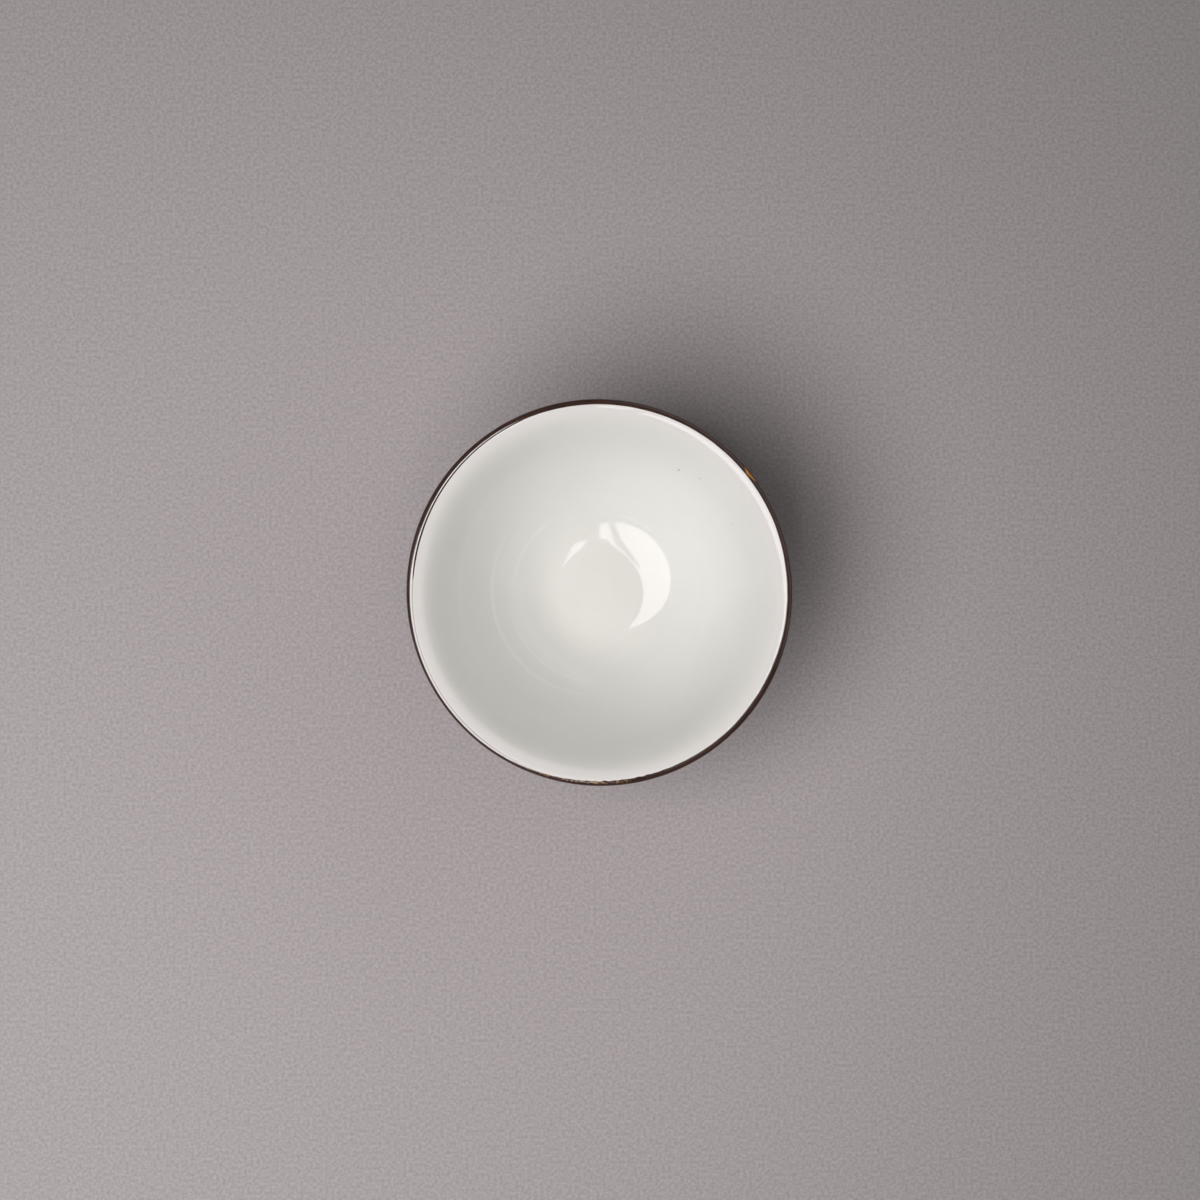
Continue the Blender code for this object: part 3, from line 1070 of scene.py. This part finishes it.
def clay_finish(tree, spot):
    """Bare porcelain, grey where it stands and flushed beside the glaze."""
    travel = added(tree, spot.radius, spot.height)
    grain = noise(tree, spot.place, scale=2400.0, detail=4.0)
    turning = marks(tree, spot, travel, round_scale=1.5, travel_scale=5200.0, detail=2.0)
    patches = marks(tree, spot, spot.height, round_scale=6.0, travel_scale=300.0)
    rubbed = spread(tree, spot.height, (0.0, RUBBED_HEIGHT), (1.0, 0.0))
    wear_and_darkening = multiplied(tree, rubbed, spread(tree, grain, CLAY_SPAN))
    colour = blend(tree, wear_and_darkening, CLAY_PALE, CLAY_GREY)
    near_glaze = spread(tree, spot.height, shifted(bare_height, FLUSH_ABOVE), (0.0, FLUSH_MOST))
    flush = multiplied(tree, near_glaze, spread(tree, patches, CLAY_SPAN))
    rough = relief(tree, grain, CLAY_GRAIN_HEIGHT)
    return {
        "Base Color": blend(tree, flush, colour, CLAY_FLUSH),
        "Roughness": spread(tree, grain, NOISE_SPAN, CLAY_ROUGHNESS),
        "Normal": relief(tree, turning, CLAY_TURNING_HEIGHT, rough),
    }


wear(clay_body, turned_finish("bare_porcelain", clay_finish, roughness=0.65))

# %% [markdown]
# ## The camera and the stage
# The picture looks straight down into the cup. The cup's rim is 387 pixels across in a frame of 1200, and
# its middle is 7.5 pixels above the frame's middle, so one pixel's size at the rim sets both the lens and
# the camera's place. The cup stands on a sheet of grey paper, whose colour is painted a little darker away
# from the cup as painted shade for the light falling off.

# %% Set the camera
FRAME_PIXELS = 1200
RIM_PIXELS = 387
CUP_RIGHT_PIXELS = -0.6
CUP_UP_PIXELS = 7.5
CAMERA_ABOVE_RIM = 0.40
CLIP_START = 0.01
pixel = 2 * rim_radius / RIM_PIXELS
camera_data = bpy.data.cameras.new("camera")
camera_data.lens = camera_data.sensor_width * CAMERA_ABOVE_RIM / (FRAME_PIXELS * pixel)
camera_data.clip_start = CLIP_START
camera = placed("camera", camera_data)
camera.location = (-CUP_RIGHT_PIXELS * pixel, -CUP_UP_PIXELS * pixel, cup_height + CAMERA_ABOVE_RIM)
bpy.context.scene.camera = camera
print("lens", round(camera_data.lens, 1), "mm, one pixel is", round(MM * pixel, 4), "mm")

# %% A sheet of paper for a floor
PAPER = (0.491, 0.4535, 0.445)
PAPER_DARK = (0.370, 0.342, 0.336)
# Painted shade: the paper's colour is scaled from the near tone to the darker far tone over this span of
# distance from the cup, for the light falling off.
PAPER_NEAR_TONE = (1.0, 1.0, 1.0)
PAPER_FAR_SHADE = (0.858, 0.88, 0.88)
PAPER_SHADE_SPAN = (0.05, 0.16)
FIBRE_SPAN = (0.35, 0.65)
FIBRE_HEIGHT = 0.00003
FLOOR_HALF = 12.0
FLOOR_CORNERS = [(-1, -1), (1, -1), (1, 1), (-1, 1)]


def paper_finish():
    """Grey paper with fine fibres, and painted shade that darkens it with the distance from the cup."""
    material, shader = finish("grey_paper", roughness=0.9)
    tree = material.node_tree
    place = add(tree, "ShaderNodeTexCoord").outputs["Object"]
    fibres = noise(tree, place, scale=1800.0, detail=3.0, roughness=0.6)
    colour = blend(tree, spread(tree, fibres, FIBRE_SPAN), PAPER_DARK, PAPER)
    away = vector_sum(tree, "LENGTH", {0: place}).outputs["Value"]
    # Painted shade: the paper grows darker with the distance from the cup.
    painted_falloff = blend(tree, spread(tree, away, PAPER_SHADE_SPAN), PAPER_NEAR_TONE, PAPER_FAR_SHADE)
    shaded_paper = vector_sum(tree, "MULTIPLY", {0: colour, 1: painted_falloff}).outputs[0]
    connect(tree, shader, {"Base Color": shaded_paper, "Normal": relief(tree, fibres, FIBRE_HEIGHT)})
    return material


floor_mesh = bpy.data.meshes.new("floor")
corners = [(FLOOR_HALF * x, FLOOR_HALF * y, 0.0) for x, y in FLOOR_CORNERS]
floor_mesh.from_pydata(corners, [], [(0, 1, 2, 3)])
floor_mesh.materials.append(paper_finish())
floor = placed("floor", floor_mesh)
print("floor", 2 * FLOOR_HALF, "m wide")

# %% [markdown]
# ## Light
# One large round soft light hangs beside the camera towards the lower left. Its mirror image is the
# crescent in the well and the bright line on the lip, and the cup's shadow falls to the upper right. The
# dark camera, its arm and its stand hang in front of that light and cut its mirror image, so they are flat
# black bars here. A broad weak light from the right opens the left wall, which faces away from the round
# one. The world gives the rest, and what is seen or mirrored of it is a plain grey. The strengths are set
# so that the white stays below pure white.

# %% Set the round light, whose lean and reach are shares of its height
LIGHT_TINT = (1.0, 0.962, 0.99)
LIGHT_AZIMUTH = math.radians(223.5)
LIGHT_ABOVE = 0.42
LIGHT_LEAN = 0.625
LIGHT_REACH = 0.655
LIGHT_LEVEL = 1.05


def area_light(name, shape, size, size_y, radiance):
    """A flat lamp that faces down, whose energy follows from its area and the radiance of its face."""
    data = bpy.data.lights.new(name, "AREA")
    data.shape = shape
    data.size = size
    data.size_y = size_y
    data.color = LIGHT_TINT
    area = size * size_y * (math.pi / 4 if shape == "DISK" else 1.0)
    data.energy = math.pi * radiance * area
    print(name, "energy", round(data.energy, 2), "W")
    return placed(name, data)


light_width = 2 * LIGHT_REACH * LIGHT_ABOVE
light_radiance = LIGHT_LEVEL * (1 + LIGHT_LEAN**2) ** 2 / LIGHT_REACH**2
main_light = area_light("main_light", "DISK", light_width, light_width, light_radiance)
main_light.location = round_axis(LIGHT_AZIMUTH, LIGHT_LEAN * LIGHT_ABOVE, cup_height + LIGHT_ABOVE)

# %% The dark camera, its arm and its stand, which hide part of the light
GEAR_THICKNESS = 0.006
GEAR_BLACK = (0.01, 0.01, 0.01)
gear_material, gear_shader = finish("black_gear", roughness=0.9)
gear_shader.inputs["Base Color"].default_value = rgba(GEAR_BLACK)


def dark_bar(name, near, far, width, above):
    """A flat black bar between two places seen from above, at a height over the rim."""
    bm = bmesh.new()
    bmesh.ops.create_cube(bm, size=1.0)
    mesh = bpy.data.meshes.new(name)
    bm.to_mesh(mesh)
    bm.free()
    mesh.materials.append(gear_material)
    bar = placed(name, mesh)
    reach = np.subtract(far, near)
    bar.scale = (np.hypot(*reach), width, GEAR_THICKNESS)
    bar.rotation_euler = (0.0, 0.0, math.atan2(reach[1], reach[0]))
    bar.location = (*(np.add(near, far) / 2), cup_height + above)
    print(name, np.round(np.hypot(*reach), 3), "m long")


dark_bar("camera_arm", near=(-0.052, -0.036), far=(-0.074, -0.400), width=0.034, above=0.39)
dark_bar("camera_stand", near=(0.045, -0.152), far=(0.045, -0.400), width=0.09, above=0.395)
dark_bar("camera_body", near=(-0.002, 0.05), far=(0.006, -0.16), width=0.058, above=0.408)

# %% Set the broad weak light
FILL_AZIMUTH = math.radians(32)
FILL_ZENITH = math.radians(64)
FILL_DISTANCE = 1.6
FILL_TALL = 1.0
FILL_WIDE = 3.4
FILL_RADIANCE = 0.90
fill_light = area_light("fill_light", "RECTANGLE", FILL_TALL, FILL_WIDE, FILL_RADIANCE)
fill_aside = FILL_DISTANCE * math.sin(FILL_ZENITH)
fill_light.location = round_axis(FILL_AZIMUTH, fill_aside, FILL_DISTANCE * math.cos(FILL_ZENITH))
fill_light.rotation_euler = (0.0, FILL_ZENITH, FILL_AZIMUTH)

# %% Set the world
WORLD_LEVEL = 0.035
WORLD_SEEN = (0.12, 0.117, 0.115)
world = bpy.data.worlds.new("studio")
world.use_nodes = True
bpy.context.scene.world = world
world_tree = world.node_tree
sky = world_tree.nodes["Background"]
connect(world_tree, sky, {"Color": rgba(LIGHT_TINT), "Strength": WORLD_LEVEL})
seen = add(world_tree, "ShaderNodeBackground", {"Color": rgba(WORLD_SEEN), "Strength": 1.0})
rays = add(world_tree, "ShaderNodeLightPath").outputs
mirrored = calculate(world_tree, "MAXIMUM", rays["Is Glossy Ray"], rays["Is Transmission Ray"])
shown = calculate(world_tree, "MAXIMUM", rays["Is Camera Ray"], mirrored)
mixed = add(world_tree, "ShaderNodeMixShader", {0: shown, 1: sky.outputs[0], 2: seen.outputs[0]})
connect(world_tree, world_tree.nodes["World Output"], {"Surface": mixed.outputs[0]})
bpy.context.scene.view_settings.view_transform = "Standard"
print("world light", WORLD_LEVEL)
